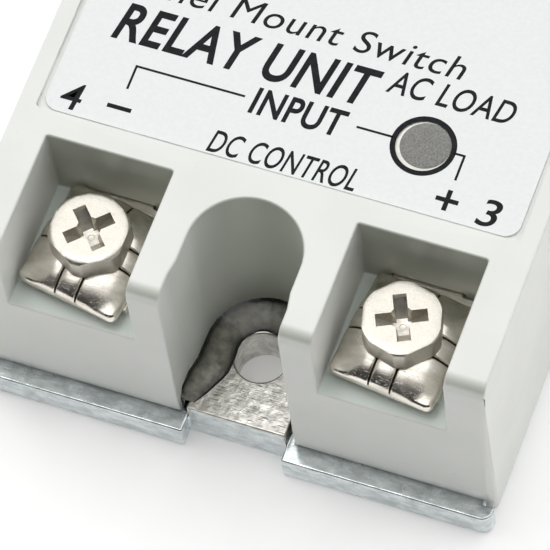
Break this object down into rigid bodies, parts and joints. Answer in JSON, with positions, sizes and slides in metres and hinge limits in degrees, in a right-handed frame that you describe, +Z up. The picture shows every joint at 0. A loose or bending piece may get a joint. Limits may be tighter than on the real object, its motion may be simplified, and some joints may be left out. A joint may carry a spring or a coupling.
{
  "type": "solid state relay",
  "caption": "Panel solid state relay: moulded housing on a metal base plate, with screw terminals in open wells, U-notches over the mounting holes and an indicator window.",
  "frame": {"origin": "centre of the base plate's underside", "axes": "+Z up out of the mounting face, +Y along the relay from the input end to the output end, +X to the right seen from the input end"},
  "size_m": [0.045, 0.063, 0.0227],
  "materials": {
    "zinc_plate": "zinc plated, faint bluish grain",
    "housing_plastic": "moulded, fine satin",
    "label_film": "printed film, semi-gloss",
    "lamp_window": "smoked translucent plastic",
    "led_plastic": "clear red epoxy",
    "board_laminate": "solder mask",
    "ceramic": "fired white ceramic",
    "black_epoxy": "moulded epoxy",
    "tinned_lead": "tinned",
    "copper": "plain copper strip",
    "white_epoxy": "moulded epoxy",
    "resistor_coat": "dipped lacquer",
    "film_case": "potted plastic case",
    "resin": "cast epoxy, glossy",
    "nickel_plate": "nickel plated, warm tint",
    "nickel_screw": "nickel plated, warm tint"
  },
  "bodies": {
    "relay_body": {"base_plate": "zinc_plate", "housing": "housing_plastic", "label": "label_film", "indicator_window": "lamp_window", "led": "led_plastic", "circuit_board": "board_laminate", "ceramic_insulator": "ceramic", "triac": "black_epoxy", "triac_leads": "tinned_lead", "output_strap_1": "copper", "output_strap_2": "copper", "optocoupler": "white_epoxy", "limit_transistor": "black_epoxy", "input_diode": "black_epoxy", "input_resistors": "resistor_coat", "gate_resistor": "resistor_coat", "snubber_resistor": "resistor_coat", "snubber_capacitor": "film_case", "potting_resin": "resin", "sealant_bead_input": "resin", "sealant_bead_output": "resin", "terminal_1": "nickel_plate", "terminal_2": "nickel_plate", "terminal_3": "nickel_plate", "terminal_4": "nickel_plate"},
    "clamp_1": {"clamp_washer_1": "nickel_plate"},
    "screw_1": {"terminal_screw_1": "nickel_screw"},
    "clamp_2": {"clamp_washer_2": "nickel_plate"},
    "screw_2": {"terminal_screw_2": "nickel_screw"},
    "clamp_3": {"clamp_washer_3": "nickel_plate"},
    "screw_3": {"terminal_screw_3": "nickel_screw"},
    "clamp_4": {"clamp_washer_4": "nickel_plate"},
    "screw_4": {"terminal_screw_4": "nickel_screw"}
  },
  "joints": [
    {"name": "clamp_1_lift", "type": "slide", "parent": "relay_body", "child": "clamp_1", "axis": [0, 0, 1], "range_m": [0, 0.003]},
    {"name": "screw_1_turn", "type": "hinge", "parent": "clamp_1", "child": "screw_1", "pos_m": [-0.01335, 0.02395, 0.0175], "axis": [0, 0, 1], "range_deg": [0, 1800]},
    {"name": "clamp_2_lift", "type": "slide", "parent": "relay_body", "child": "clamp_2", "axis": [0, 0, 1], "range_m": [0, 0.003]},
    {"name": "screw_2_turn", "type": "hinge", "parent": "clamp_2", "child": "screw_2", "pos_m": [0.01335, 0.02395, 0.0175], "axis": [0, 0, 1], "range_deg": [0, 1800]},
    {"name": "clamp_3_lift", "type": "slide", "parent": "relay_body", "child": "clamp_3", "axis": [0, 0, 1], "range_m": [0, 0.003]},
    {"name": "screw_3_turn", "type": "hinge", "parent": "clamp_3", "child": "screw_3", "pos_m": [0.01335, -0.02395, 0.0175], "axis": [0, 0, 1], "range_deg": [0, 1800]},
    {"name": "clamp_4_lift", "type": "slide", "parent": "relay_body", "child": "clamp_4", "axis": [0, 0, 1], "range_m": [0, 0.003]},
    {"name": "screw_4_turn", "type": "hinge", "parent": "clamp_4", "child": "screw_4", "pos_m": [-0.01335, -0.02395, 0.0175], "axis": [0, 0, 1], "range_deg": [0, 1800]}
  ],
  "couplings": [
    {"joint": "screw_1_turn", "follows": "clamp_1_lift", "rad_per_m": 10472},
    {"joint": "screw_2_turn", "follows": "clamp_2_lift", "rad_per_m": 10472},
    {"joint": "screw_3_turn", "follows": "clamp_3_lift", "rad_per_m": 10472},
    {"joint": "screw_4_turn", "follows": "clamp_4_lift", "rad_per_m": 10472}
  ]
}
